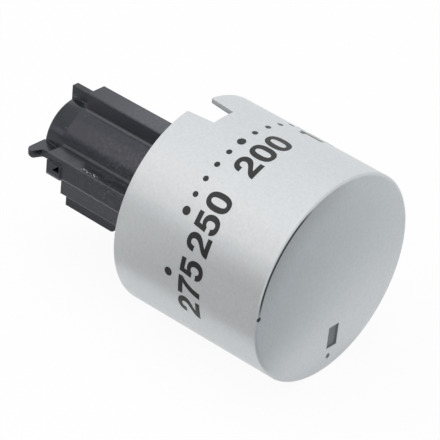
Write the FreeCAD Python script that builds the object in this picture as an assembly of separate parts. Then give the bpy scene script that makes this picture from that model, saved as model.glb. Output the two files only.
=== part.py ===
"""Retractable oven temperature knob: a silver cap, a black guide stem and a spring leaf for the shaft."""
import FreeCAD, Part
import math
import os

# Lengths are millimetres and angles are degrees. The turning axis is Y, the face looks along -Y,
# and the origin is the mouth of the shaft bore, at the rear end of the stem.
# Angles round the axis count from the top (+Z) towards the reading side (-X).

# Whole knob
overall_length = 63.4

# Cap: a drafted cup with a flat face, open at the rear
cap_front_diameter = 40.0
cap_length = 32.9
cap_draft = 0.5
cap_rim_wall = 0.9
cap_inner_draft = 1.6
cap_face_thickness = 2.0
cap_face_chamfer = 0.1
cap_rim_chamfer = 0.15

# Small sunk mark on the face
mark_width = 2.65
mark_height = 4.5
mark_depth = 0.3
mark_right = 2.27
mark_drop = 13.2

# Notch in the rear rim of the cap, which clears a stop on the panel
notch_mouth_width = 6.1
notch_bottom_width = 5.0
notch_depth = 5.85
notch_angle = 2.4
notch_corner_radius = 0.6

# Keyed socket and stiffening webs inside the cap
socket_depth = 11.0
socket_wall = 1.6
socket_clearance = 0.1
web_count = 8
web_thickness = 1.2
web_depth = 8.0

# Stem: a round tube, squared off below, with four guide ribs, of which the bottom one stops short of the cap
tube_diameter = 16.1
tube_wall = 1.6
flank_half_width = 7.8
flank_drop = 8.25
top_rib_width = 4.4
top_rib_reach = 11.2
side_rib_width = 4.35
side_rib_reach = 11.6
bottom_rib_width = 12.45
bottom_rib_reach = 11.25
bottom_rib_length = 12.8
bottom_rib_lead_radius = 1.3
side_lift = 0.2
rib_setback = 5.3
rib_root_radius = 0.6

# Nose of the tube behind the ribs, which leads the stem into its guide
nose_end_diameter = 14.6
nose_chamfer = 0.35

# Fins behind the ribs, and the snap barbs on the two side fins
fin_thickness = 1.45
fin_reach = 10.0
side_fin_thickness = 1.6
barb_reach = 12.2
barb_root_setback = 2.5
barb_tip_setback = 1.5
barb_nose_radius = 1.35
barb_root_radius = 0.6
barb_under_radius = 0.7

# Raised wear pad and triangular core hole at the rear end of each side rib
pad_length = 3.4
pad_top = 1.0
pad_height = 0.35
pad_ramp = 0.4
core_hole_setback = 1.5
core_hole_length = 1.6
core_hole_low = -0.6
core_hole_height = 1.5
core_hole_depth = 3.0

# Shaft socket: a round mouth, then a D-shaped seat for the flat of the shaft
shaft_diameter = 6.0
shaft_over_flat = 4.6
mouth_clearance = 0.25
seat_clearance = 0.05
mouth_length = 8.0
seat_length = 15.0
hub_diameter = 9.8
hub_web_thickness = 1.2
rear_pocket_depth = 20.0
front_pocket_depth = 24.0

# Spring leaf that presses on the flat of the shaft
leaf_length = 12.0
leaf_width = 4.0
leaf_thickness = 0.4
leaf_bow = 0.6
leaf_clearance = 0.1

# Places along the axis
face_y = -overall_length
rim_y = face_y + cap_length
floor_y = face_y + cap_face_thickness
socket_y = floor_y + socket_depth
rib_end_y = -rib_setback
seat_end_y = -mouth_length - seat_length

# Radii and reaches that follow from the sizes above
cap_front_radius = cap_front_diameter / 2
cap_rim_radius = cap_front_radius + cap_length * math.tan(math.radians(cap_draft))
cavity_depth = cap_length - cap_face_thickness
cavity_rim_radius = cap_rim_radius - cap_rim_wall
cavity_floor_radius = cavity_rim_radius - cavity_depth * math.tan(math.radians(cap_inner_draft))
tube_radius = tube_diameter / 2
side_rib_top = side_lift + side_rib_width / 2
side_rib_low = side_lift - side_rib_width / 2
pocket_radius = tube_radius - tube_wall
nose_end_radius = nose_end_diameter / 2
mouth_radius = shaft_diameter / 2 + mouth_clearance
seat_radius = shaft_diameter / 2 + seat_clearance
flat_height = shaft_over_flat - shaft_diameter / 2 + seat_clearance
slot_top = flat_height + leaf_bow + leaf_thickness

# Cutters run past the surface they open by this much
past = 1.0

AXIS = FreeCAD.Vector(0, 1, 0)
CENTRE = FreeCAD.Vector(0, 0, 0)


def block(x_low, x_high, y_low, y_high, z_low, z_high):
    """Box between two corners."""
    corner = FreeCAD.Vector(x_low, y_low, z_low)
    return Part.makeBox(x_high - x_low, y_high - y_low, z_high - z_low, corner)


def rod(radius, y_low, y_high):
    """Round bar along the axis."""
    return Part.makeCylinder(radius, y_high - y_low, FreeCAD.Vector(0, y_low, 0), AXIS)


def spun(profile):
    """Solid of revolution about the axis from corners given as radius and place along the axis."""
    corners = [FreeCAD.Vector(radius, y, 0) for radius, y in profile]
    outline = Part.makePolygon(corners + corners[:1])
    return Part.Face(outline).revolve(CENTRE, AXIS, 360)


def turned(shape, angle):
    """Copy of a shape at an angle round the axis, from the top towards the reading side."""
    copy = shape.copy()
    copy.rotate(CENTRE, AXIS, -angle)
    return copy


def mirrored(shape):
    """Copy of a shape on the other side of the middle plane."""
    return shape.mirror(CENTRE, FreeCAD.Vector(1, 0, 0))


def extruded(corners, path):
    """Straight-edged outline swept along a path."""
    return Part.Face(Part.makePolygon(corners + corners[:1])).extrude(path)


def straight_edges(shape, test):
    """Straight edges of a shape whose two ends both pass a test on their place."""
    straight = [edge for edge in shape.Edges if edge.Curve.TypeId == "Part::GeomLine"]
    return [edge for edge in straight if all(test(vertex.Point) for vertex in edge.Vertexes)]


def at_rib_root(point, radius, top_half, side_top):
    """Whether a point is where the top rib or the upper side of a side rib leaves the tube."""
    on_tube = abs(math.hypot(point.x, point.z) - radius) < 1e-4
    beside_top_rib = abs(abs(point.x) - top_half) < 1e-4 and point.z > 0
    above_side_rib = abs(point.z - side_top) < 1e-4
    return on_tube and (beside_top_rib or above_side_rib)


def guide_section(y_low, y_high, grow):
    """Tube with squared lower half, top rib and side ribs, grown all round by the same amount."""
    tube = rod(tube_radius + grow, y_low, y_high)
    flanks = block(-flank_half_width - grow, flank_half_width + grow, y_low, y_high, -flank_drop - grow, 0)
    top_half = top_rib_width / 2 + grow
    side_half = side_rib_reach + grow
    side_top = side_rib_top + grow
    top_rib = block(-top_half, top_half, y_low, y_high, 0, top_rib_reach + grow)
    side_ribs = block(-side_half, side_half, y_low, y_high, side_rib_low - grow, side_top)
    section = tube.multiFuse([flanks, top_rib, side_ribs]).removeSplitter()
    if grow >= rib_root_radius:
        return section
    roots = straight_edges(section, lambda p: at_rib_root(p, tube_radius + grow, top_half, side_top))
    return section.makeFillet(rib_root_radius - grow, roots)


def rim_notch():
    """Cutter for the notch in the rear rim, narrower at its bottom and with round corners at its mouth."""
    bottom_y = rim_y - notch_depth
    height = cavity_floor_radius / 2
    radius = notch_corner_radius
    flare = math.atan2((notch_mouth_width - notch_bottom_width) / 2, notch_depth)
    centre_x = notch_mouth_width / 2 + radius * (1 / math.cos(flare) - math.tan(flare))

    def on_corner(turn):
        centre_y = rim_y - radius
        return FreeCAD.Vector(centre_x - radius * math.cos(turn), centre_y + radius * math.sin(turn), height)

    bottom = FreeCAD.Vector(notch_bottom_width / 2, bottom_y, height)
    outside = FreeCAD.Vector(centre_x, rim_y + past, height)
    start, middle, end = [on_corner(turn) for turn in (flare, (flare + math.pi / 2) / 2, math.pi / 2)]
    half = Part.Wire([
        Part.makeLine(FreeCAD.Vector(0, bottom_y, height), bottom),
        Part.makeLine(bottom, start),
        Part.Arc(start, middle, end).toShape(),
        Part.makeLine(end, outside),
        Part.makeLine(outside, FreeCAD.Vector(0, rim_y + past, height)),
        Part.makeLine(FreeCAD.Vector(0, rim_y + past, height), FreeCAD.Vector(0, bottom_y, height)),
    ])
    slot = Part.Face(half).extrude(FreeCAD.Vector(0, 0, cap_rim_radius))
    return turned(slot.fuse(mirrored(slot)), notch_angle)


def face_mark():
    """Cutter for the sunk mark on the face."""
    left = mark_right - mark_width / 2
    low = -mark_drop - mark_height / 2
    return block(left, left + mark_width, face_y - past, face_y + mark_depth, low, low + mark_height)


def knob_cap():
    """Drafted cup with a keyed socket and webs inside, a notch in its rim and a mark on its face."""
    cup = spun([
        (0, face_y),
        (cap_front_radius - cap_face_chamfer, face_y),
        (cap_front_radius, face_y + cap_face_chamfer),
        (cap_rim_radius, rim_y - cap_rim_chamfer),
        (cap_rim_radius - cap_rim_chamfer, rim_y),
        (0, rim_y),
    ])
    cavity = spun([(0, floor_y), (cavity_floor_radius, floor_y), (cavity_rim_radius, rim_y), (0, rim_y)])
    socket = guide_section(floor_y, socket_y, socket_clearance + socket_wall)
    half = web_thickness / 2
    web = block(-half, half, floor_y, floor_y + web_depth, 0, cap_rim_radius)
    webs = [turned(web, 360 / web_count * number) for number in range(web_count)]
    inside = socket.multiFuse(webs).common(cavity)
    key = guide_section(floor_y, socket_y + past, socket_clearance)
    cap = cup.cut(cavity).fuse(inside).cut(key)
    return cap.cut(rim_notch()).cut(face_mark()).removeSplitter()


def side_fin():
    """Fin behind the +X rib, with a snap barb whose nose and underside are rounded to lead it in."""
    root = tube_radius - tube_wall / 2
    low = side_lift - side_fin_thickness / 2
    outline = [
        FreeCAD.Vector(root, rib_end_y - past, low),
        FreeCAD.Vector(fin_reach, rib_end_y - past, low),
        FreeCAD.Vector(fin_reach, -barb_root_setback, low),
        FreeCAD.Vector(barb_reach, -barb_tip_setback, low),
        FreeCAD.Vector(barb_reach, 0, low),
        FreeCAD.Vector(root, 0, low),
    ]
    plate = extruded(outline, FreeCAD.Vector(0, 0, side_fin_thickness))
    nose = straight_edges(plate, lambda p: abs(p.x - barb_reach) < 1e-6 and abs(p.y) < 1e-6)
    plate = plate.makeFillet(barb_nose_radius, nose)
    catch = straight_edges(
        plate, lambda p: abs(p.x - fin_reach) < 1e-6 and abs(p.y + barb_root_setback) < 1e-6
    )
    plate = plate.makeFillet(barb_root_radius, catch)
    under = straight_edges(
        plate, lambda p: abs(p.x - barb_reach) < 1e-6 and abs(p.z - low) < 1e-6
    )
    return plate.makeFillet(barb_under_radius, under)


def wear_pad():
    """Raised pad at the rear end of the +X rib, flush with the rib's lower edge and ramped at its front."""
    front_y = rib_end_y - pad_length
    outline = [
        FreeCAD.Vector(tube_radius, rib_end_y, side_rib_low),
        FreeCAD.Vector(side_rib_reach + pad_height, rib_end_y, side_rib_low),
        FreeCAD.Vector(side_rib_reach + pad_height, front_y, side_rib_low),
        FreeCAD.Vector(side_rib_reach, front_y - pad_ramp, side_rib_low),
        FreeCAD.Vector(tube_radius, front_y - pad_ramp, side_rib_low),
    ]
    return extruded(outline, FreeCAD.Vector(0, 0, pad_top - side_rib_low))


def core_hole():
    """Cutter for the triangular core hole in the pad of the +X rib."""
    inner = side_rib_reach - core_hole_depth
    rear_y = rib_end_y - core_hole_setback
    front_y = rear_y - core_hole_length
    corners = [
        FreeCAD.Vector(inner, rear_y, core_hole_low),
        FreeCAD.Vector(inner, front_y, core_hole_low),
        FreeCAD.Vector(inner, front_y, core_hole_low + core_hole_height),
    ]
    return extruded(corners, FreeCAD.Vector(core_hole_depth + pad_height + past, 0, 0))


def shaft_socket():
    """Cutter for the round mouth, the D-shaped seat and the slot of the spring leaf."""
    mouth = rod(mouth_radius, -mouth_length, past)
    seat = rod(seat_radius, seat_end_y, -mouth_length)
    side = seat_radius + past
    seat = seat.common(block(-side, side, seat_end_y, -mouth_length, -side, flat_height))
    slot_half = leaf_width / 2 + leaf_clearance
    slot_front_y = -mouth_length - leaf_length - 2 * leaf_clearance
    slot = block(-slot_half, slot_half, slot_front_y, -mouth_length, 0, slot_top)
    return mouth.multiFuse([seat, slot])


def guide_stem():
    """Ribbed tube with fins and barbs at its rear end and a hub for the shaft inside."""
    ribs = guide_section(floor_y, rib_end_y, 0)
    nose = spun([
        (0, rib_end_y),
        (tube_radius, rib_end_y),
        (nose_end_radius, -nose_chamfer),
        (nose_end_radius - nose_chamfer, 0),
        (0, 0),
    ])
    bottom_half = bottom_rib_width / 2
    bottom_rib_y = rib_end_y - bottom_rib_length
    bottom_rib = block(-bottom_half, bottom_half, bottom_rib_y, rib_end_y, -bottom_rib_reach, 0)
    lead = straight_edges(
        bottom_rib, lambda p: abs(p.y - bottom_rib_y) < 1e-6 and abs(p.z + bottom_rib_reach) < 1e-6
    )
    bottom_rib = bottom_rib.makeFillet(bottom_rib_lead_radius, lead)
    half = fin_thickness / 2
    tall_fins = block(-half, half, rib_end_y - past, 0, -fin_reach, fin_reach)
    barbed_fin = side_fin()
    pad = wear_pad()
    body = ribs.multiFuse([nose, bottom_rib, tall_fins, barbed_fin, mirrored(barbed_fin), pad, mirrored(pad)])
    hole = core_hole()
    body = body.cut(hole).cut(mirrored(hole))
    rear_pocket = rod(pocket_radius, -rear_pocket_depth, past)
    front_pocket = rod(pocket_radius, floor_y - past, floor_y + front_pocket_depth)
    hub = rod(hub_diameter / 2, -rear_pocket_depth, 0)
    hub_half = hub_web_thickness / 2
    across = block(-tube_radius, tube_radius, -rear_pocket_depth, 0, -hub_half, hub_half)
    hub_webs = across.fuse(turned(across, 90)).common(rod(pocket_radius, -rear_pocket_depth, 0))
    body = body.cut(rear_pocket).cut(front_pocket).multiFuse([hub, hub_webs])
    return body.cut(shaft_socket()).removeSplitter()


def leaf_side(height, rear_y, front_y):
    """Bowed edge of the leaf, whose ends are at a height and whose middle is lower by the bow."""
    side = -leaf_width / 2
    rear = FreeCAD.Vector(side, rear_y, height)
    middle = FreeCAD.Vector(side, (rear_y + front_y) / 2, height - leaf_bow)
    front = FreeCAD.Vector(side, front_y, height)
    return Part.Arc(rear, middle, front).toShape()


def spring_leaf():
    """Bowed strip whose ends bear on the slot and whose middle bears on the flat of the shaft."""
    rear_y = -mouth_length - leaf_clearance
    front_y = rear_y - leaf_length
    upper = leaf_side(slot_top, rear_y, front_y)
    lower = leaf_side(slot_top - leaf_thickness, rear_y, front_y)
    ends = [Part.makeLine(upper.Vertexes[end].Point, lower.Vertexes[end].Point) for end in (0, 1)]
    outline = Part.Wire(Part.__sortEdges__([upper, lower] + ends))
    return Part.Face(outline).extrude(FreeCAD.Vector(leaf_width, 0, 0))


os.makedirs("parts", exist_ok=True)
pieces = {
    "knob_cap": knob_cap(),
    "guide_stem": guide_stem(),
    "shaft_spring": spring_leaf(),
}
for name, shape in pieces.items():
    shape.exportStep("parts/" + name + ".step")
    box = shape.BoundBox
    print(name, "solids", len(shape.Solids), "valid", shape.isValid(), "volume", round(shape.Volume, 1),
          "box", [round(v, 2) for v in (box.XMin, box.YMin, box.ZMin, box.XMax, box.YMax, box.ZMax)])
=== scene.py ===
"""Retractable oven temperature knob: satin silver cap with a printed scale, black guide stem, spring leaf."""
import math
import bmesh
import bpy
from mathutils import Matrix, Vector


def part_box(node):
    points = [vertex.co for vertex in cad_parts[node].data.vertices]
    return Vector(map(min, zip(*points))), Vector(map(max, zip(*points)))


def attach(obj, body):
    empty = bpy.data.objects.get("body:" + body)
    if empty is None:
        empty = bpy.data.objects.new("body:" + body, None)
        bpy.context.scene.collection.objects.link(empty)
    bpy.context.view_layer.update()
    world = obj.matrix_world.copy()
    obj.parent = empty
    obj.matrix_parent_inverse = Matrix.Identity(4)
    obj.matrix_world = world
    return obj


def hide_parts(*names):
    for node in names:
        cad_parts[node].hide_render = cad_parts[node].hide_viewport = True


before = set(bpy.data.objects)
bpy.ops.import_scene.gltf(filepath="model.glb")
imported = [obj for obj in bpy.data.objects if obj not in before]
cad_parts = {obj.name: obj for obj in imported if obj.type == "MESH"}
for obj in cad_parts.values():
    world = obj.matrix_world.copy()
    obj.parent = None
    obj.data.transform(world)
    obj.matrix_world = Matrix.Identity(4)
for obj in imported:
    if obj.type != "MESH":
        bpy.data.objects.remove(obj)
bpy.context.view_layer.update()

MM = 0.001


def mm(*lengths):
    """Lengths in millimetres, turned into metres."""
    return tuple(length * MM for length in lengths)


# Cap, as the frame gives it: the face looks along -Y and the rim is the end nearer the stem
CAP_LOW, CAP_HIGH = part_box("knob_cap")
FACE_Y = CAP_LOW.y
RIM_Y = CAP_HIGH.y
RIM_RADIUS = CAP_HIGH.x
FACE_RADIUS = 20.0 * MM
CAP_SLOPE = (RIM_RADIUS - FACE_RADIUS) / (RIM_Y - FACE_Y)
CAP_WALL = 0.9 * MM

# Rounding that the mould leaves on sharp edges
MERGE_DISTANCE = 0.002 * MM
FLAT_WITHIN = math.radians(0.6)
SHARP_FROM = math.radians(28)
EDGE_SEGMENTS = 3
CAP_EDGE = 0.12 * MM
STEM_EDGE = 0.45 * MM
LEAF_EDGE = 0.1 * MM
CRISP_SHARE = 0.25
TOP_RIB_SHARE = 0.7
TOP_RIB_EDGE = 10.5 * MM
LONG_EDGE = 6.0 * MM
STRAIGHT_ALONG = 0.99
LOOKING_DOWN = -0.2
LOWEST_ROUNDED = -10.0 * MM

# Soft roll-off of the face just inside its edge, made from rings of faces
ROLL_WIDTH = 0.55 * MM
ROLL_DROP = 0.16 * MM
ROLL_RINGS = 3
FACE_CHAMFER = 0.1 * MM
FACING_FRONT = -0.999

# Sunk mark, spot and speck on the face, as places across the face. Here and below, the two values that
# bound a mask are where it is 0 and where it is 1.
FACE_SKIN = mm(0.5, 0.6)
MARK_CENTRE = mm(2.27, -13.2)
MARK_HALF = mm(1.325, 2.25)
MARK_DEPTH = 0.3 * MM
MARK_BORDER = mm(-0.01, 0.03)
MARK_TOP = mm(0.02, 0.06)
MARK_FLOOR = (1.2 * MARK_DEPTH, 1.4 * MARK_DEPTH)
MARK_GREY = (0.155, 0.175, 0.182)
SPOT_CENTRE = mm(1.6, -17.2)
SPOT_RADIUS = 0.52 * MM
SPOT_SHARE = 0.9
SPOT_GREY = (0.06, 0.068, 0.072)
SPECK_CENTRE = mm(-19.36, 0.4)
SPECK_RADIUS = 0.47 * MM
SPOT_FADE = (0.75, 1.2)

# Dark line along a stretch of the face's edge, and the painted shade on the face beside it
DARK_LINE_TOWARDS = math.radians(57.0)
DARK_LINE_HALF = math.radians(35.0)
DARK_LINE_FULL = 0.6 * DARK_LINE_HALF
DARK_LINE_RADIUS = FACE_RADIUS - 0.57 * MM
DARK_LINE_WIDTH = mm(0.15, 0.35)
SPECK_AND_LINE_BLACK = (0.008, 0.008, 0.009)
EDGE_SHADE_TOWARDS = math.radians(40.0)
EDGE_SHADE_HALF = math.radians(52.0)
EDGE_SHADE_FROM = 13.0 * MM
EDGE_SHADE_END = (FACE_RADIUS - ROLL_WIDTH, FACE_RADIUS - 0.6 * ROLL_WIDTH)
EDGE_SHADE_SHARE = 0.21
EDGE_SHADE_BROWN = (0.14, 0.08, 0.06)

# Noises that the finishes are made from
GRAINS = {
    "flakes": {"size": 0.16 * MM, "detail": 3.0, "roughness": 0.7},
    "clumps": {"size": 0.55 * MM, "detail": 1.0},
    "mottle": {"size": 5.0 * MM},
    "eroded": {"size": 0.12 * MM, "detail": 3.0, "roughness": 0.65},
    "clouds": {"size": 3.0 * MM},
    "streaks": {"size": 0.35 * MM, "stretch": (1, 14, 1)},
    "nicks": {"size": 0.3 * MM, "stretch": (1, 1.6, 1)},
    "film": {"size": 0.7 * MM, "detail": 3.0, "roughness": 0.6},
    "dust": {"size": 0.22 * MM, "detail": 1.0},
    "rolled": {"size": 0.08 * MM, "stretch": (1, 40, 1)},
    "paper": {"size": 1.5 * MM},
}

# Silver lacquer: sprayed on the outside, and drifting a little way into the hollow
SILVER_DARK = (0.535, 0.563, 0.578)
SILVER_LIGHT = (0.73, 0.758, 0.777)
SILVER_MOTTLE = (0.5, 0.52, 0.53)
FLAKE_SHARE = 0.45
CLUMP_SHARE = 0.55
MOTTLE_SHARE = 0.12
BARE_MOULDING = (0.03, 0.031, 0.034)
SPRAYED_WALL = mm(-0.25, 0.3)
SPRAYED_FRONT = mm(1.0, 1.4)
OVERSPRAY = (RIM_Y - 7.0 * MM, RIM_Y + 1.0 * MM)
OVERSPRAY_STRAY = 4.0 * MM
OVERSPRAY_SHARE = 0.85
LACQUER_METAL = 0.62
LACQUER_ROUGHNESS = 0.34
BARE_ROUGHNESS = 0.1
FLAKE_ROUGHNESS = 0.1
FLAKE_DEPTH = 0.004 * MM

# Black plastic
BLACK_DARK = (0.007, 0.0075, 0.009)
BLACK_LIGHT = (0.012, 0.013, 0.0155)
STREAK_LEVELS = (0.6, 0.78)
STREAK_SHARE = 0.15
STREAK_GREY = (0.09, 0.09, 0.1)
DUST_LEVELS = (0.76, 0.8)
DUST_SHARE = 0.5
DUST_GREY = (0.3, 0.3, 0.31)
BLACK_SPECULAR = 0.76
BLACK_TINT = (0.835, 0.87, 1.0)
BLACK_ROUGHNESS = 0.13
ERODED_ROUGHNESS = 0.1
STREAK_ROUGHNESS = -0.03
ERODED_DEPTH = 0.004 * MM

# Coarser sides of the top rib, between two heights
RIB_SIDE_FOOT = mm(8.1, 8.8)
RIB_SIDE_TOP = mm(11.1, 10.9)
RIB_SIDE_ROUGHNESS = 0.3

# Painted highlights along the stem's edges and roots: share, then heights that bound each from one side and
# from the other, then distances from the middle. The last is open above: its second heights lie over the
# stem's top.
PAINTED_EDGE_HIGHLIGHTS = {
    "side rib's lower edge": (0.8, mm(-1.3, -1.85), mm(-2.1, -2.0), mm(10.9, 11.2)),
    "flank's lower edge": (0.25, mm(-7.7, -8.1), mm(-8.4, -8.3), mm(7.3, 7.5)),
    "top rib's root": (0.3, mm(7.62, 7.8), mm(8.15, 7.95), mm(2.75, 2.6)),
    "side rib's upper edge": (0.18, mm(2.1, 2.25), mm(13.0, 12.0), mm(11.3, 11.45)),
}
EDGE_HIGHLIGHT_GREY = (0.17, 0.175, 0.185)

# Pale nicks on the upper edge of one side rib
NICKS_CENTRE = mm(-10.9, -15.2)
NICKS_ABOVE = mm(2.2, 2.3)
NICKS_ACROSS = mm(0.2, 0.45)
NICKS_ALONG = mm(1.7, 2.3)
NICK_LEVELS = (0.5, 0.58)
NICK_SHARE = 0.8
NICK_GREY = (0.4, 0.4, 0.41)

# Thin pale film on the stem, and painted light. Low down its share grows with the noise and grows towards the
# cap as a painted brightening; on the top rib it is painted light towards the cap that grows with the noise.
FILM_LEVELS = (0.38, 0.74)
PAINTED_LIGHT_TOWARDS_CAP = mm(-6.0, -20.0)
LOW_FILM_HEIGHTS = mm(9.0, 6.2)
LOW_FILM_SHARE = 0.03
LOW_PAINTED_LIGHT_MORE = 0.055
TOP_PAINTED_LIGHT_HEIGHTS = mm(10.9, 11.1)
TOP_PAINTED_LIGHT_SHARE = 0.08
TOP_PAINTED_LIGHT_MORE = 0.1
FILM_AND_LIGHT_GREY = (0.28, 0.3, 0.35)

# Spring steel
STEEL_DARK = (0.42, 0.42, 0.43)
STEEL_LIGHT = (0.6, 0.6, 0.61)
STEEL_ROUGHNESS = 0.26
ROLLED_ROUGHNESS = 0.14
ROLLED_DEPTH = 0.002 * MM

# Ink
INK_DARK = (0.009, 0.0094, 0.0105)
INK_THIN = (0.05, 0.051, 0.054)
INK_THIN_LEVELS = (0.56, 0.74)
INK_SPECULAR = 0.5
INK_ROUGHNESS = 0.3

# Printed scale: angles count from the top of the knob towards its reading side, in degrees.
# A row of dots is its first angle, the step between dots and their number.
NUMBERS = {"275": 92.6, "250": 56.8, "200": 11.35, "150": -37.7, "100": -86.4, "50": -135.4}
DIGIT_HEIGHT = 4.8 * MM
DIGIT_FOOT = 12.75 * MM
DIGIT_ADVANCE = 0.81
DIGIT_SWELL = 0.05 * MM
SHARPEST_SWELL = 0.5
DOT_ROW = 20.0 * MM
DOT_ROWS = {"low_dots": (-135.4, 9.8, 15), "high_dots": (11.6, 9.02, 6), "last_dot": (89.7, 0.0, 1)}
DOTS_TO_A_NUMBER = 5
LARGE_DOT_RADIUS = 0.81 * MM
SMALL_DOT_RADIUS = 0.54 * MM
DOT_SIDES = 36
INK_SINK = 0.012 * MM
INK_THICKNESS = 0.03 * MM
SLICE_WIDTH = 0.4 * MM
CURVE_STEPS = 10

# Digit outlines on a grid of 700 to the height. A contour is its first point, then the next points of
# straight stretches, or two handles and the end point of curved ones.
DIGIT_GRID = 700
DIGITS = {
    "0": [
        [(278, 710), (440, 710, 523, 585, 523, 346), (523, 107, 440, -18, 278, -18),
         (116, -18, 32, 107, 32, 346), (32, 585, 116, 710, 278, 710)],
        [(278, 592), (205, 592, 174, 515, 174, 346), (174, 177, 205, 100, 278, 100),
         (351, 100, 382, 177, 382, 346), (382, 515, 351, 592, 278, 592)],
    ],
    "1": [
        [(378, 0), (378, 709), (268, 709), (250, 635, 180, 600, 69, 598), (69, 492), (232, 492), (232, 0)],
    ],
    "2": [
        [(507, 0), (26, 0), (28, 95, 66, 165, 160, 238), (270, 322, 364, 385, 364, 484),
         (364, 548, 330, 590, 274, 590), (206, 590, 170, 548, 168, 452), (34, 452),
         (36, 615, 128, 710, 276, 710), (420, 710, 511, 618, 511, 490), (511, 395, 462, 322, 362, 252),
         (285, 198, 235, 165, 214, 126), (507, 126)],
    ],
    "5": [
        [(476, 698), (476, 572), (196, 572), (178, 446), (208, 474, 246, 488, 292, 488),
         (428, 488, 516, 392, 516, 244), (516, 84, 408, -18, 264, -18), (124, -18, 30, 64, 27, 188),
         (168, 188), (176, 130, 210, 98, 262, 98), (330, 98, 372, 152, 372, 240),
         (372, 326, 332, 376, 266, 376), (224, 376, 194, 360, 172, 326), (46, 332), (100, 698)],
    ],
    "7": [
        [(25, 698), (528, 698), (528, 584), (400, 452, 292, 240, 270, 0), (116, 0),
         (140, 210, 236, 412, 372, 566), (25, 566)],
    ],
}

# Camera: upright view of the knob, which is itself turned a little about its own axis
VIEW_AZIMUTH = math.radians(-47.57)
VIEW_ELEVATION = math.radians(38.69)
KNOB_TURN = math.radians(7.6)
FACE_RIGHT_OF_CENTRE = 19.396 * MM
FACE_BELOW_CENTRE = 10.1 * MM
FACE_DISTANCE = 415.39 * MM
SENSOR_WIDTH = 36.0
LENS = 197.98
CLIP_START = 10.0 * MM

# Studio
WHITE = (1.0, 1.0, 1.0)
FLOOR_SIZE = 4.0
FLOOR_COLOUR = (0.9, 0.9, 0.9)
FLOOR_DARKEST = 0.98
FLOOR_WHITENESS = 0.93
TENT_LIGHT = 0.5
LAMP_PLACE = (-0.12, 0.08, 0.5)
LAMP_TARGET = (0, -0.04, 0)
LAMP_SIZE = 0.7
LAMP_POWER = 2.5

# Cards round the knob: corners in metres, the tone at the lowest and at the highest X, and the glow,
# which is 0 for plain paper
CARD_CLEARANCE = 0.3 * MM
CARD_LEVEL = CAP_LOW.z + CARD_CLEARANCE
CARDS = {
    "side_card": (
        [(-0.026, -0.1, CARD_LEVEL), (-0.026, -0.02, CARD_LEVEL), (-0.17, -0.02, 0.03), (-0.17, -0.1, 0.03)],
        (0.33, 0.312, 0.302), (0.475, 0.455, 0.445), 0.0),
    "far_side_card": (
        [(-0.17, -0.05, 0.03), (-0.17, 0.042, 0.03), (-0.175, 0.042, 0.055), (-0.175, -0.05, 0.055)],
        (0.45, 0.43, 0.42), (0.45, 0.43, 0.42), 0.0),
    "shade_card": (
        [(-0.06, -0.045, -0.0074), (-0.06, -0.013, -0.0074),
         (-0.125, -0.013, 0.0152), (-0.125, -0.045, 0.0152)],
        (0.27, 0.258, 0.252), (0.27, 0.258, 0.252), 0.0),
    "rear_side_card": (
        [(-0.026, -0.02, CARD_LEVEL), (-0.026, 0.18, CARD_LEVEL), (-0.17, 0.18, 0.03), (-0.17, -0.02, 0.03)],
        (0.4, 0.39, 0.385), (0.65, 0.64, 0.635), 0.0),
    "stem_card": (
        [(-0.026, -0.017, CARD_LEVEL), (-0.026, 0.05, CARD_LEVEL),
         (-0.01, 0.05, CARD_LEVEL), (-0.01, -0.017, CARD_LEVEL)],
        (1.0, 0.99, 0.985), (0.24, 0.24, 0.24), 0.0),
    "back_card": (
        [(-0.17, 0.08, 0.03), (-0.17, 0.2, 0.03), (-0.19, 0.2, 0.1), (-0.19, 0.08, 0.1)],
        (0.95, 0.95, 0.95), (0.45, 0.45, 0.45), 0.0),
    "rear_card": (
        [(-0.3, 0.3, 0.1), (0.1, 0.3, 0.1), (0.1, 0.3, 0.33), (-0.3, 0.3, 0.33)],
        (0.7, 0.7, 0.7), (0.7, 0.7, 0.7), 0.0),
    "bright_card": (
        [(-0.33, 0.11, 0.14), (-0.33, 0.38, 0.14), (-0.12, 0.38, 0.36), (-0.12, 0.11, 0.36)],
        (1.0, 0.935, 0.91), (1.0, 0.935, 0.91), 1.32),
    "front_card": (
        [(-0.026, -0.064, CARD_LEVEL), (0.06, -0.094, CARD_LEVEL),
         (0.06, -0.25, CARD_LEVEL), (-0.026, -0.25, CARD_LEVEL)],
        (0.31, 0.36, 0.375), (0.31, 0.36, 0.375), 0.0),
    "face_foot_card": (
        [(-0.012, -0.0665, CARD_LEVEL), (0.014, -0.0665, CARD_LEVEL),
         (0.014, -0.0605, CARD_LEVEL), (-0.012, -0.0605, CARD_LEVEL)],
        WHITE, WHITE, 0.82),
    "side_foot_card": (
        [(-0.021, -0.063, CARD_LEVEL), (-0.0125, -0.063, CARD_LEVEL),
         (-0.0125, -0.025, CARD_LEVEL), (-0.021, -0.025, CARD_LEVEL)],
        WHITE, WHITE, 0.86),
}


class Signal:
    """A node's output that takes part in Python arithmetic by adding Math nodes."""

    def __init__(self, graph, socket):
        self.graph = graph
        self.socket = socket

    def maths(self, operation, first, second):
        return self.graph.node("ShaderNodeMath", {"operation": operation}, {0: first, 1: second})

    def __add__(self, other):
        return self.maths("ADD", self, other)

    def __radd__(self, other):
        return self.maths("ADD", other, self)

    def __sub__(self, other):
        return self.maths("SUBTRACT", self, other)

    def __rsub__(self, other):
        return self.maths("SUBTRACT", other, self)

    def __mul__(self, other):
        return self.maths("MULTIPLY", self, other)

    def __rmul__(self, other):
        return self.maths("MULTIPLY", other, self)

    def __truediv__(self, other):
        return self.maths("DIVIDE", self, other)

    def __mod__(self, other):
        return self.maths("FLOORED_MODULO", self, other)

    def __pow__(self, other):
        return self.maths("POWER", self, other)


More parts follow.
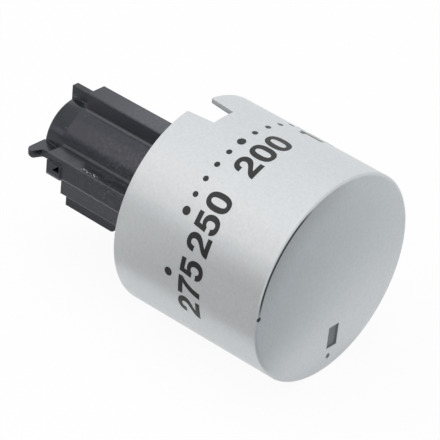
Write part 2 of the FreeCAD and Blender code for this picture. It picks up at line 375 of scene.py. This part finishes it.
class Graph:
    """A node tree, shader or geometry, that grows by one method."""

    def __init__(self, tree):
        self.tree = tree

    def node(self, kind, settings=None, sockets=None, output=0):
        """Adds a node with its settings and sockets, by place or identifier; gives one of its outputs."""
        made = self.tree.nodes.new(kind)
        for name, value in (settings or {}).items():
            setattr(made, name, value)
        for key, value in (sockets or {}).items():
            self.fill(self.find(made.inputs, key), value)
        return Signal(self, self.find(made.outputs, output)) if made.outputs else None

    @staticmethod
    def find(sockets, key):
        if isinstance(key, int):
            return sockets[key]
        return next(socket for socket in sockets if socket.identifier == key)

    def fill(self, socket, value):
        if isinstance(value, Signal):
            self.tree.links.new(value.socket, socket)
        elif isinstance(value, tuple) and len(value) == 3 and socket.type == "RGBA":
            socket.default_value = (*value, 1.0)
        else:
            socket.default_value = value

    def between(self, value, low, high):
        """Smooth step from 0 at one value to 1 at another."""
        return self.node("ShaderNodeMapRange", {"interpolation_type": "SMOOTHSTEP"},
                         {"Value": value, "From Min": low, "From Max": high})

    def largest(self, first, second):
        return self.node("ShaderNodeMath", {"operation": "MAXIMUM"}, {0: first, 1: second})

    def size_of(self, value):
        return self.node("ShaderNodeMath", {"operation": "ABSOLUTE"}, {0: value})

    def axes(self, vector):
        """The three parts of a vector."""
        split = self.node("ShaderNodeSeparateXYZ", None, {"Vector": vector}, "X").socket.node
        return [Signal(self, split.outputs[name]) for name in "XYZ"]

    def mixed(self, factor, first, second):
        """Colour between two colours."""
        return self.node("ShaderNodeMix", {"data_type": "RGBA"},
                         {"Factor_Float": factor, "A_Color": first, "B_Color": second}, "Result_Color")


class Finish(Graph):
    """A material, with the places on its piece and the noises that its maps are made from."""

    def __init__(self, name):
        self.material = bpy.data.materials.new(name)
        self.material.use_nodes = True
        super().__init__(self.material.node_tree)
        self.tree.nodes.clear()
        self.place = self.node("ShaderNodeTexCoord", None, None, "Object")

    def grain(self, name):
        """One of the named noises."""
        return self.noise(**GRAINS[name])

    def noise(self, size, detail=2.0, roughness=0.5, stretch=(1, 1, 1)):
        """Noise whose features are about one size across, pulled out along the axes by the stretch."""
        scale = tuple(1 / pull for pull in stretch)
        place = self.node("ShaderNodeMapping", None, {"Vector": self.place, "Scale": scale})
        sockets = {"Vector": place, "Scale": 1 / size, "Detail": detail, "Roughness": roughness}
        return self.node("ShaderNodeTexNoise", None, sockets, "Fac")

    def behind_face(self, near, far):
        """Smooth step from 0 at one depth behind the cap's face to 1 at another."""
        y = self.axes(self.place)[1]
        return self.between(y, FACE_Y + near, FACE_Y + far)

    def relief(self, height, depth):
        """Bumped normal from a height map."""
        return self.node("ShaderNodeBump", None, {"Height": height, "Strength": 1.0, "Distance": depth})

    def end_in(self, surface):
        """Ends the material in a shader."""
        self.node("ShaderNodeOutputMaterial", {"target": "ALL"}, {"Surface": surface})
        return self.material

    def close(self, sockets):
        """Ends the material in one principled shader with these sockets."""
        return self.end_in(self.node("ShaderNodeBsdfPrincipled", None, sockets))


def round_spot(finish, centre, radius):
    """Mask of a round spot on the face."""
    x, _, z = finish.axes(finish.place)
    across = x - centre[0]
    up = z - centre[1]
    distance = (across * across + up * up) ** 0.5
    on_face = 1 - finish.behind_face(*FACE_SKIN)
    inner, outer = SPOT_FADE
    return (1 - finish.between(distance, inner * radius, outer * radius)) * on_face


def sunk_mark(finish):
    """Mask of the sunk rectangle on the face, floor and walls."""
    x, _, z = finish.axes(finish.place)
    across = finish.size_of(x - MARK_CENTRE[0]) - MARK_HALF[0]
    up = finish.size_of(z - MARK_CENTRE[1]) - MARK_HALF[1]
    outside = finish.between(finish.largest(across, up), *MARK_BORDER)
    near_face = 1 - finish.behind_face(*MARK_FLOOR)
    return (1 - outside) * finish.behind_face(*MARK_TOP) * near_face


def face_stretch(finish, radius, middle, fades_at, full_within):
    """Mask of the stretch of the face round one angle."""
    x, _, z = finish.axes(finish.place)
    towards = (x * -math.sin(middle) + z * math.cos(middle)) / radius
    on_face = 1 - finish.behind_face(*FACE_SKIN)
    return finish.between(towards, math.cos(fades_at), math.cos(full_within)) * on_face


def dark_edge_line(finish, radius):
    """Mask of a dark line along a stretch of the face's edge."""
    line = 1 - finish.between(finish.size_of(radius - DARK_LINE_RADIUS), *DARK_LINE_WIDTH)
    return line * face_stretch(finish, radius, DARK_LINE_TOWARDS, DARK_LINE_HALF, DARK_LINE_FULL)


def painted_edge_shade(finish, radius):
    """Mask of painted shade on the face, growing outwards towards one stretch of its edge and stopping at the
    roll.
    """
    outwards = finish.between(radius, EDGE_SHADE_FROM, FACE_RADIUS)
    on_flat = 1 - finish.between(radius, *EDGE_SHADE_END)
    return outwards * on_flat * face_stretch(finish, radius, EDGE_SHADE_TOWARDS, EDGE_SHADE_HALF, 0.0)


def silver_lacquer():
    """Satin silver lacquer with fine flakes, thinning out inside the cap to the bare dark moulding."""
    finish = Finish("silver_lacquer")
    x, y, z = finish.axes(finish.place)
    flakes = finish.grain("flakes")
    clumps = finish.grain("clumps")
    mottle = finish.grain("mottle")
    silver = finish.mixed(FLAKE_SHARE * flakes + CLUMP_SHARE * clumps, SILVER_DARK, SILVER_LIGHT)
    silver = finish.mixed(MOTTLE_SHARE * mottle, silver, SILVER_MOTTLE)

    radius = (x * x + z * z) ** 0.5
    wall_radius = (FACE_RADIUS - CAP_WALL) + CAP_SLOPE * (y - FACE_Y)
    sprayed = finish.between(radius - wall_radius, *SPRAYED_WALL)
    front = 1 - finish.behind_face(*SPRAYED_FRONT)
    overspray = finish.between(y + OVERSPRAY_STRAY * (mottle - 0.5), *OVERSPRAY)
    lacquered = finish.largest(finish.largest(sprayed, front), OVERSPRAY_SHARE * overspray)
    colour = finish.mixed(lacquered, BARE_MOULDING, silver)

    # Painted shade: a faint brownish darkening of the face towards one stretch of its edge.
    colour = finish.mixed(EDGE_SHADE_SHARE * painted_edge_shade(finish, radius), colour, EDGE_SHADE_BROWN)
    mark = sunk_mark(finish)
    colour = finish.mixed(mark, colour, MARK_GREY)
    spot = round_spot(finish, SPOT_CENTRE, SPOT_RADIUS)
    colour = finish.mixed(SPOT_SHARE * spot, colour, SPOT_GREY)
    speck = round_spot(finish, SPECK_CENTRE, SPECK_RADIUS)
    # The speck, and a dark line along a stretch of the face's edge, both black and without metal.
    speck_and_line = finish.largest(speck, dark_edge_line(finish, radius))
    colour = finish.mixed(speck_and_line, colour, SPECK_AND_LINE_BLACK)
    plain = finish.largest(mark, speck_and_line)
    return finish.close({
        "Base Color": colour,
        "Metallic": LACQUER_METAL * lacquered * (1 - plain),
        "Roughness": LACQUER_ROUGHNESS + FLAKE_ROUGHNESS * flakes + BARE_ROUGHNESS * (1 - lacquered),
        "Normal": finish.relief(flakes, FLAKE_DEPTH),
    })


def painted_edge_highlights(finish):
    """How far the stem's edges and roots are lit pale by painted highlights."""
    x, _, z = finish.axes(finish.place)
    out = finish.size_of(x)
    return sum(
        share * finish.between(z, *one_side) * finish.between(z, *other_side) * finish.between(out, *reach)
        for share, one_side, other_side, reach in PAINTED_EDGE_HIGHLIGHTS.values()
    )


def pale_nicks(finish):
    """Mask of the nicks on one side rib."""
    x, y, z = finish.axes(finish.place)
    on_top = finish.between(z, *NICKS_ABOVE)
    across = 1 - finish.between(finish.size_of(x - NICKS_CENTRE[0]), *NICKS_ACROSS)
    along = 1 - finish.between(finish.size_of(y - NICKS_CENTRE[1]), *NICKS_ALONG)
    return on_top * across * along * finish.between(finish.grain("nicks"), *NICK_LEVELS)


def film_and_painted_light(finish):
    """How far a thin pale film and painted light, which grows towards the cap, cover the lower parts of the
    stem and the top of its top rib.
    """
    _, y, z = finish.axes(finish.place)
    film = finish.between(finish.grain("film"), *FILM_LEVELS)
    towards_cap = finish.between(y, *PAINTED_LIGHT_TOWARDS_CAP)
    low = (LOW_FILM_SHARE + LOW_PAINTED_LIGHT_MORE * towards_cap) * film * finish.between(z, *LOW_FILM_HEIGHTS)
    top = (TOP_PAINTED_LIGHT_SHARE + TOP_PAINTED_LIGHT_MORE * film) * towards_cap * finish.between(z, *TOP_PAINTED_LIGHT_HEIGHTS)
    return low + top


def black_plastic():
    """Satin black moulding with a fine eroded grain, rubbed streaks, painted edge highlights, nicks, and a
    pale film with painted light.
    """
    finish = Finish("black_plastic")
    z = finish.axes(finish.place)[2]
    eroded = finish.grain("eroded")
    streak = finish.between(finish.grain("streaks"), *STREAK_LEVELS)
    dust = finish.between(finish.grain("dust"), *DUST_LEVELS)
    colour = finish.mixed(finish.grain("clouds"), BLACK_DARK, BLACK_LIGHT)
    colour = finish.mixed(STREAK_SHARE * streak, colour, STREAK_GREY)
    # Painted highlights: pale lines along the ribs' edges and roots.
    colour = finish.mixed(painted_edge_highlights(finish), colour, EDGE_HIGHLIGHT_GREY)
    colour = finish.mixed(NICK_SHARE * pale_nicks(finish), colour, NICK_GREY)
    # Painted light: a pale film that brightens the low parts and the top rib's top towards the cap.
    colour = finish.mixed(film_and_painted_light(finish), colour, FILM_AND_LIGHT_GREY)
    colour = finish.mixed(DUST_SHARE * dust, colour, DUST_GREY)
    rib_side = finish.between(z, *RIB_SIDE_FOOT) * finish.between(z, *RIB_SIDE_TOP)
    roughness = BLACK_ROUGHNESS + ERODED_ROUGHNESS * eroded + STREAK_ROUGHNESS * streak
    return finish.close({
        "Base Color": colour,
        "Specular IOR Level": BLACK_SPECULAR,
        "Specular Tint": BLACK_TINT,
        "Roughness": roughness + RIB_SIDE_ROUGHNESS * rib_side,
        "Normal": finish.relief(eroded, ERODED_DEPTH),
    })


def spring_steel():
    """Rolled steel strip with fine lines along its length."""
    finish = Finish("spring_steel")
    rolled = finish.grain("rolled")
    return finish.close({
        "Base Color": finish.mixed(rolled, STEEL_DARK, STEEL_LIGHT),
        "Metallic": 1.0,
        "Roughness": STEEL_ROUGHNESS + ROLLED_ROUGHNESS * rolled,
        "Normal": finish.relief(rolled, ROLLED_DEPTH),
    })


def scale_ink():
    """Dark grey screen ink that lets the lacquer's flakes grin through a little."""
    finish = Finish("scale_ink")
    flakes = finish.grain("flakes")
    thin = finish.between(flakes, *INK_THIN_LEVELS)
    return finish.close({
        "Base Color": finish.mixed(thin, INK_DARK, INK_THIN),
        "Specular IOR Level": INK_SPECULAR,
        "Roughness": INK_ROUGHNESS + FLAKE_ROUGHNESS * flakes,
        "Normal": finish.relief(flakes, FLAKE_DEPTH),
    })


def seen_directly(graph):
    """1 for the rays that show the background: straight to the camera, mirrored or through glass."""
    path = graph.node("ShaderNodeLightPath", None, None, "Is Camera Ray").socket.node
    camera, glossy, through = [
        Signal(graph, path.outputs[name])
        for name in ("Is Camera Ray", "Is Glossy Ray", "Is Transmission Ray")
    ]
    return graph.largest(graph.largest(camera, glossy), through)


def pale_floor():
    """White paper that keeps the object's shadow."""
    finish = Finish("pale_floor")
    darkest = tuple(FLOOR_DARKEST * part for part in FLOOR_COLOUR)
    colour = finish.mixed(finish.grain("paper"), FLOOR_COLOUR, darkest)
    diffuse = finish.node("ShaderNodeBsdfDiffuse", None, {"Color": colour})
    white = finish.node("ShaderNodeEmission", None, {"Color": WHITE, "Strength": 1.0})
    share = FLOOR_WHITENESS * seen_directly(finish)
    return finish.end_in(finish.node("ShaderNodeMixShader", None, {0: share, 1: diffuse, 2: white}))


def card_paper(name, lowest, highest, low_tone, high_tone, glow):
    """Plain or glowing paper whose tone changes along X."""
    finish = Finish(name)
    x = finish.axes(finish.place)[0]
    colour = finish.mixed(finish.between(x, lowest, highest), low_tone, high_tone)
    if glow:
        return finish.end_in(finish.node("ShaderNodeEmission", None, {"Color": colour, "Strength": glow}))
    return finish.end_in(finish.node("ShaderNodeBsdfDiffuse", None, {"Color": colour}))


def add_object(name, data):
    """Puts an object into the scene."""
    added = bpy.data.objects.new(name, data)
    bpy.context.scene.collection.objects.link(added)
    return added


def add_piece(name, mesh):
    """Puts a finished mesh in the scene, riding on the part."""
    piece = add_object(name, mesh)
    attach(piece, "root")
    return piece


def plain_mesh(carrier):
    """The mesh that an object's modifiers give; the object itself is taken away."""
    bpy.context.view_layer.update()
    evaluated = carrier.evaluated_get(bpy.context.evaluated_depsgraph_get())
    mesh = bpy.data.meshes.new_from_object(evaluated)
    bpy.data.objects.remove(carrier)
    return mesh


def rounding_share(edge):
    """Share of the full rounding: all of it in the ribs' roots and under the side ribs, less elsewhere."""
    run = edge.verts[1].co - edge.verts[0].co
    along_ribs = run.length > LONG_EDGE and abs(run.y) > STRAIGHT_ALONG * run.length
    height = edge.verts[0].co.z
    facing = sum(face.normal.z for face in edge.link_faces)
    looks_down = facing < LOOKING_DOWN and height > LOWEST_ROUNDED
    if along_ribs and height > TOP_RIB_EDGE:
        return TOP_RIB_SHARE
    return 1.0 if along_ribs and (looks_down or not edge.is_convex) else CRISP_SHARE


def roll_face_edge(solid):
    """Lets the cap's face fall away softly just inside its edge."""
    above_mark = FACE_Y + MARK_DEPTH / 2
    front = [
        face for face in solid.faces
        if face.normal.y < FACING_FRONT and face.calc_center_median().y < above_mark
    ]
    roll = ROLL_WIDTH - FACE_CHAMFER
    for _ in range(ROLL_RINGS):
        bmesh.ops.inset_region(solid, faces=front, thickness=roll / ROLL_RINGS, use_even_offset=True)
    behind_chamfer = FACE_Y + 1.5 * FACE_CHAMFER
    for vertex in solid.verts:
        inward = FACE_RADIUS - math.hypot(vertex.co.x, vertex.co.z)
        if inward < ROLL_WIDTH and vertex.co.y < behind_chamfer:
            vertex.co.y += ROLL_DROP * min(1.0, (ROLL_WIDTH - inward) / roll) ** 2


def eased_mesh(node):
    """Copy of a CAD piece's mesh with its flat faces joined and its sharp edges marked for rounding."""
    solid = bmesh.new()
    solid.from_mesh(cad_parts[node].data)
    bmesh.ops.remove_doubles(solid, verts=solid.verts, dist=MERGE_DISTANCE)
    bmesh.ops.dissolve_limit(solid, angle_limit=FLAT_WITHIN, verts=solid.verts, edges=solid.edges)
    if node == "knob_cap":
        roll_face_edge(solid)
    solid.normal_update()
    for face in solid.faces:
        face.smooth = True
        face.material_index = 0
    share = solid.edges.layers.float.new("bevel_weight_edge")
    for edge in solid.edges:
        if edge.calc_face_angle(0) > SHARP_FROM:
            edge[share] = rounding_share(edge)
    mesh = bpy.data.meshes.new(node + "_eased")
    solid.to_mesh(mesh)
    solid.free()
    return mesh


def eased_piece(node, edge_width, material):
    """Copy of a CAD piece with its sharp edges rounded, which stands for that piece."""
    mesh = eased_mesh(node)
    mesh.materials.append(material)
    carrier = add_object(node + "_eased", mesh)
    bevel = carrier.modifiers.new("rounded edges", "BEVEL")
    bevel.width = edge_width
    bevel.segments = EDGE_SEGMENTS
    bevel.limit_method = "WEIGHT"
    bevel.use_clamp_overlap = False
    bevel.miter_outer = "MITER_ARC"
    normals = carrier.modifiers.new("flat faces stay flat", "WEIGHTED_NORMAL")
    normals.keep_sharp = False
    piece = add_piece(node + "_finished", plain_mesh(carrier))
    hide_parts(node)


def add_contour(curve, contour, left, unit):
    """One closed outline of a digit, with its handles, set out from the digit's left edge."""
    knots = [Vector((left + point[-2] * unit, point[-1] * unit, 0)) for point in contour]
    before = list(knots)
    after = list(knots)
    for place, point in enumerate(contour):
        if len(point) == 6:
            after[place - 1] = Vector((left + point[0] * unit, point[1] * unit, 0))
            before[place] = Vector((left + point[2] * unit, point[3] * unit, 0))
    if (knots[0] - knots[-1]).length < MERGE_DISTANCE:
        before[0] = before.pop()
        knots.pop()
        after.pop()
    spline = curve.splines.new("BEZIER")
    spline.bezier_points.add(len(knots) - 1)
    spline.use_cyclic_u = True
    for knot, place, handle_before, handle_after in zip(spline.bezier_points, knots, before, after):
        knot.handle_left_type = "FREE"
        knot.handle_right_type = "FREE"
        knot.co = place
        knot.handle_left = handle_before
        knot.handle_right = handle_after


def flat_numbers():
    """The printed numbers as flat filled outlines along the unrolled scale."""
    curve = bpy.data.curves.new("unrolled_numbers", "CURVE")
    curve.dimensions = "2D"
    curve.fill_mode = "FRONT"
    curve.resolution_u = CURVE_STEPS
    unit = DIGIT_HEIGHT / DIGIT_GRID
    advance = DIGIT_ADVANCE * DIGIT_HEIGHT
    for text, angle in NUMBERS.items():
        start = -math.radians(angle) * FACE_RADIUS - advance * len(text) / 2
        for place, digit in enumerate(text):
            for contour in DIGITS[digit]:
                add_contour(curve, contour, start + advance * place, unit)
    return plain_mesh(add_object("unrolled_numbers", curve))


def swell_outline(film):
    """Moves the outlines of a flat film outwards by the ink's spread, with even corners."""
    moved = {}
    for vertex in film.verts:
        outward = []
        for edge in vertex.link_edges:
            if edge.is_boundary:
                loop = edge.link_loops[0]
                along = (loop.link_loop_next.vert.co - loop.vert.co).normalized()
                outward.append(Vector((along.y, -along.x, 0)) * math.copysign(1.0, loop.face.normal.z))
        if len(outward) == 2:
            first, second = outward
            moved[vertex] = DIGIT_SWELL * (first + second) / max(SHARPEST_SWELL, 1 + first.dot(second))
    for vertex, move in moved.items():
        vertex.co += move


def slice_film(film):
    """Cuts a flat film into upright slices, so that it bends round the cap."""
    leftmost = min(vertex.co.x for vertex in film.verts)
    rightmost = max(vertex.co.x for vertex in film.verts)
    for number in range(1, math.ceil((rightmost - leftmost) / SLICE_WIDTH)):
        cut = Vector((leftmost + number * SLICE_WIDTH, 0, 0))
        geometry = film.verts[:] + film.edges[:] + film.faces[:]
        bmesh.ops.bisect_plane(
            film, geom=geometry, dist=MERGE_DISTANCE, plane_co=cut, plane_no=(1, 0, 0))
    bmesh.ops.dissolve_degenerate(film, dist=MERGE_DISTANCE, edges=film.edges[:])
    bmesh.ops.triangulate(film, faces=film.faces[:])


def wrapped(point):
    """Place on the cap of a point of the unrolled scale: along it, up it and out of it."""
    behind_face = point.y
    radius = FACE_RADIUS + CAP_SLOPE * behind_face + point.z - INK_SINK
    angle = point.x / FACE_RADIUS
    return Vector((radius * math.sin(angle), FACE_Y + behind_face, radius * math.cos(angle)))


def scale_numbers(material):
    """The printed numbers: flat outlines, sliced, given a film's thickness and wrapped round the cap."""
    mesh = flat_numbers()
    film = bmesh.new()
    film.from_mesh(mesh)
    bmesh.ops.remove_doubles(film, verts=film.verts, dist=MERGE_DISTANCE)
    bmesh.ops.dissolve_limit(film, angle_limit=FLAT_WITHIN, verts=film.verts, edges=film.edges)
    swell_outline(film)
    slice_film(film)
    raised = bmesh.ops.extrude_face_region(film, geom=film.faces[:], use_keep_orig=True)["geom"]
    lifted = [part for part in raised if isinstance(part, bmesh.types.BMVert)]
    bmesh.ops.translate(film, verts=lifted, vec=(0, 0, INK_THICKNESS))
    bmesh.ops.recalc_face_normals(film, faces=film.faces[:])
    for vertex in film.verts:
        vertex.co = wrapped(vertex.co + Vector((0, DIGIT_FOOT, 0)))
    film.to_mesh(mesh)
    film.free()
    mesh.materials.clear()
    mesh.materials.append(material)
    add_piece("scale_numbers", mesh)


def dot_row_tree():
    """Geometry Nodes for a row of printed dots: laid flat, a larger one at each number, then wrapped."""
    tree = bpy.data.node_groups.new("scale_dots", "GeometryNodeTree")
    named = {}
    for name, kind in (
        ("Count", "Int"), ("First Angle", "Float"), ("Step", "Float"), ("Dots to a Number", "Int"),
        ("Large Radius", "Float"), ("Small Radius", "Float"), ("Row", "Float"), ("Ink", "Material"),
    ):
        socket = tree.interface.new_socket(name, in_out="INPUT", socket_type="NodeSocket" + kind)
        named[name] = socket.identifier
    tree.interface.new_socket("Dots", in_out="OUTPUT", socket_type="NodeSocketGeometry")
    graph = Graph(tree)
    group = graph.node("NodeGroupInput").socket.node
    given = {name: Signal(graph, graph.find(group.outputs, key)) for name, key in named.items()}

    index = graph.node("GeometryNodeInputIndex")
    along = (given["First Angle"] + given["Step"] * index) * -FACE_RADIUS
    flat_place = graph.node("ShaderNodeCombineXYZ", None, {"X": along, "Y": given["Row"]})
    points = graph.node("GeometryNodePoints", None, {"Count": given["Count"], "Position": flat_place})
    small = graph.between(index % given["Dots to a Number"], 0.5, 0.6)
    radius = given["Large Radius"] + (given["Small Radius"] - given["Large Radius"]) * small
    disc = graph.node("GeometryNodeMeshCircle", {"fill_type": "TRIANGLE_FAN"},
                      {"Vertices": DOT_SIDES, "Radius": 1.0})
    dots = graph.node("GeometryNodeInstanceOnPoints", None,
                      {"Points": points, "Instance": disc, "Scale": radius})
    dots = graph.node("GeometryNodeRealizeInstances", None, {"Geometry": dots})

    undersides = graph.node("GeometryNodeFlipFaces", None, {"Mesh": dots})
    dots = graph.node("GeometryNodeExtrudeMesh", None,
                      {"Mesh": dots, "Offset Scale": INK_THICKNESS, "Individual": False})
    dots = graph.node("GeometryNodeJoinGeometry", None, {"Geometry": dots})
    graph.fill(dots.socket.node.inputs[0], undersides)
    dots = graph.node("GeometryNodeMergeByDistance", None,
                      {"Geometry": dots, "Distance": MERGE_DISTANCE})

    x, y, z = graph.axes(graph.node("GeometryNodeInputPosition"))
    reach = FACE_RADIUS - INK_SINK + CAP_SLOPE * y + z
    turn = x / FACE_RADIUS
    sine = graph.node("ShaderNodeMath", {"operation": "SINE"}, {0: turn})
    cosine = graph.node("ShaderNodeMath", {"operation": "COSINE"}, {0: turn})
    on_cap = graph.node("ShaderNodeCombineXYZ", None,
                        {"X": reach * sine, "Y": FACE_Y + y, "Z": reach * cosine})
    dots = graph.node("GeometryNodeSetPosition", None, {"Geometry": dots, "Position": on_cap})
    dots = graph.node("GeometryNodeSetMaterial", None, {"Geometry": dots, "Material": given["Ink"]})
    graph.node("NodeGroupOutput", None, {0: dots})
    return tree, named


def scale_dots(name, tree, named, row_of_dots, material):
    """One row of printed dots as a plain mesh."""
    carrier = add_object(name, bpy.data.meshes.new(name))
    row = carrier.modifiers.new("dots", "NODES")
    row.node_group = tree
    first_angle, step, count = row_of_dots
    values = {
        "Count": count, "First Angle": math.radians(first_angle), "Step": math.radians(step),
        "Dots to a Number": DOTS_TO_A_NUMBER, "Large Radius": LARGE_DOT_RADIUS,
        "Small Radius": SMALL_DOT_RADIUS, "Row": DOT_ROW, "Ink": material,
    }
    for key, value in values.items():
        row[named[key]] = value
    add_piece(name + "_print", plain_mesh(carrier))


def add_sheet(name, corners, material):
    """Flat sheet with four corners."""
    mesh = bpy.data.meshes.new(name)
    mesh.from_pydata(corners, [], [(0, 1, 2, 3)])
    mesh.materials.append(material)
    return add_object(name, mesh)


def add_floor():
    """Plain pale floor under the cap."""
    half = FLOOR_SIZE / 2
    level = CAP_LOW.z
    corners = [(-half, -half, level), (half, -half, level), (half, half, level), (-half, half, level)]
    floor = add_sheet("floor", corners, pale_floor())


def add_card(name, corners, low_tone, high_tone, glow):
    """Card beside the knob, as a photographer sets to tone a shiny side; the camera can't see it."""
    lowest = min(corner[0] for corner in corners)
    highest = max(corner[0] for corner in corners)
    card = add_sheet(name, corners, card_paper(name, lowest, highest, low_tone, high_tone, glow))
    card.visible_camera = False
    card.visible_shadow = False
    card.visible_diffuse = False


def add_softbox():
    """Square area lamp overhead that faces the knob and isn't mirrored in it."""
    lamp = bpy.data.lights.new("overhead", "AREA")
    lamp.size = LAMP_SIZE
    lamp.energy = LAMP_POWER
    holder = add_object("overhead", lamp)
    holder.visible_glossy = False
    aim = (Vector(LAMP_TARGET) - Vector(LAMP_PLACE)).to_track_quat("-Z", "Y")
    holder.matrix_world = Matrix.Translation(LAMP_PLACE) @ aim.to_matrix().to_4x4()


def add_tent():
    """Even white surroundings, as in a light tent."""
    world = bpy.data.worlds.new("light_tent")
    bpy.context.scene.world = world
    world.use_nodes = True
    graph = Graph(world.node_tree)
    graph.tree.nodes.clear()
    strength = TENT_LIGHT + (1 - TENT_LIGHT) * seen_directly(graph)
    light = graph.node("ShaderNodeBackground", None, {"Color": WHITE, "Strength": strength})
    graph.node("ShaderNodeOutputWorld", None, {"Surface": light})


def add_camera():
    """Long-lens camera at the height and side that the knob is seen from."""
    back = Vector((
        math.sin(VIEW_AZIMUTH) * math.cos(VIEW_ELEVATION),
        -math.cos(VIEW_AZIMUTH) * math.cos(VIEW_ELEVATION),
        math.sin(VIEW_ELEVATION),
    ))
    right = Vector((0, 0, 1)).cross(back).normalized()
    up = back.cross(right)
    face = Vector((0, FACE_Y, 0))
    eye = face - right * FACE_RIGHT_OF_CENTRE + up * FACE_BELOW_CENTRE + back * FACE_DISTANCE
    upright = Matrix((right, up, back)).transposed().to_4x4()
    upright.translation = eye
    camera = add_object("camera", bpy.data.cameras.new("camera"))
    camera.data.lens = LENS
    camera.data.sensor_width = SENSOR_WIDTH
    camera.data.clip_start = CLIP_START
    camera.matrix_world = Matrix.Rotation(-KNOB_TURN, 4, "Y") @ upright
    bpy.context.scene.camera = camera


eased_piece("knob_cap", CAP_EDGE, silver_lacquer())
eased_piece("guide_stem", STEM_EDGE, black_plastic())
eased_piece("shaft_spring", LEAF_EDGE, spring_steel())

ink = scale_ink()
scale_numbers(ink)
dot_tree, dot_inputs = dot_row_tree()
for row_name, dot_row in DOT_ROWS.items():
    scale_dots(row_name, dot_tree, dot_inputs, dot_row, ink)

add_floor()
add_tent()
for card_name, card in CARDS.items():
    add_card(card_name, *card)
add_softbox()
add_camera()
bpy.context.scene.view_settings.view_transform = "Standard"
